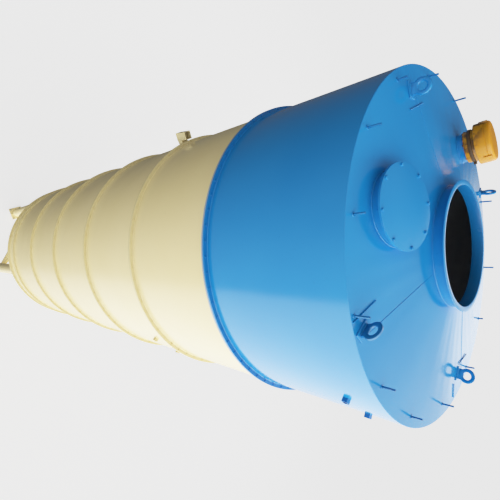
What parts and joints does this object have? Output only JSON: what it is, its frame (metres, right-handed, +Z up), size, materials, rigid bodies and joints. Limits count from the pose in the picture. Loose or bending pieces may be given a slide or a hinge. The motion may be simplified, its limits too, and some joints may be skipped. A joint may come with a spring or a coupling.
{
  "type": "bolted cement silo",
  "caption": "Upright cement silo of flanged plate rings with a shallow cone roof, open roof collar, hopper and braced pipe legs.",
  "frame": {"origin": "on the floor under the silo's axis, at the level of the base plates' undersides", "axes": "+Z up along the silo's axis; -Y is the side that the picture shows"},
  "size_m": [3.49, 3.49, 14.8079],
  "materials": {
    "cream_paint": "satin paint",
    "blue_paint": "satin paint",
    "yellow_paint": "satin paint"
  },
  "bodies": {
    "root": {"skirt_ring": "cream_paint", "shell_course_1": "cream_paint", "shell_course_2": "cream_paint", "shell_course_3": "cream_paint", "shell_course_4": "cream_paint", "shell_course_5": "cream_paint", "hopper_cone": "cream_paint", "discharge_flange": "cream_paint", "top_course": "blue_paint", "roof_cone": "blue_paint", "roof_collar": "blue_paint", "manhole_neck": "blue_paint", "manhole_cover": "blue_paint", "relief_valve_neck": "blue_paint", "relief_valve_body": "yellow_paint", "relief_valve_cap": "yellow_paint", "lifting_lug_1": "blue_paint", "leg_1": "cream_paint", "base_plate_1": "cream_paint", "leg_bracket_1": "cream_paint", "tie_1": "cream_paint", "brace_1a": "cream_paint", "brace_1b": "cream_paint", "lifting_lug_2": "blue_paint", "leg_2": "cream_paint", "base_plate_2": "cream_paint", "leg_bracket_2": "cream_paint", "tie_2": "cream_paint", "brace_2a": "cream_paint", "brace_2b": "cream_paint", "lifting_lug_3": "blue_paint", "leg_3": "cream_paint", "base_plate_3": "cream_paint", "leg_bracket_3": "cream_paint", "tie_3": "cream_paint", "brace_3a": "cream_paint", "brace_3b": "cream_paint", "lifting_lug_4": "blue_paint", "leg_4": "cream_paint", "base_plate_4": "cream_paint", "leg_bracket_4": "cream_paint", "tie_4": "cream_paint", "brace_4a": "cream_paint", "brace_4b": "cream_paint", "pipe_sleeve": "cream_paint", "ladder_stub_1": "blue_paint", "ladder_stub_2": "blue_paint", "ladder_stub_3": "cream_paint", "ladder_stub_4": "cream_paint"}
  },
  "joints": []
}
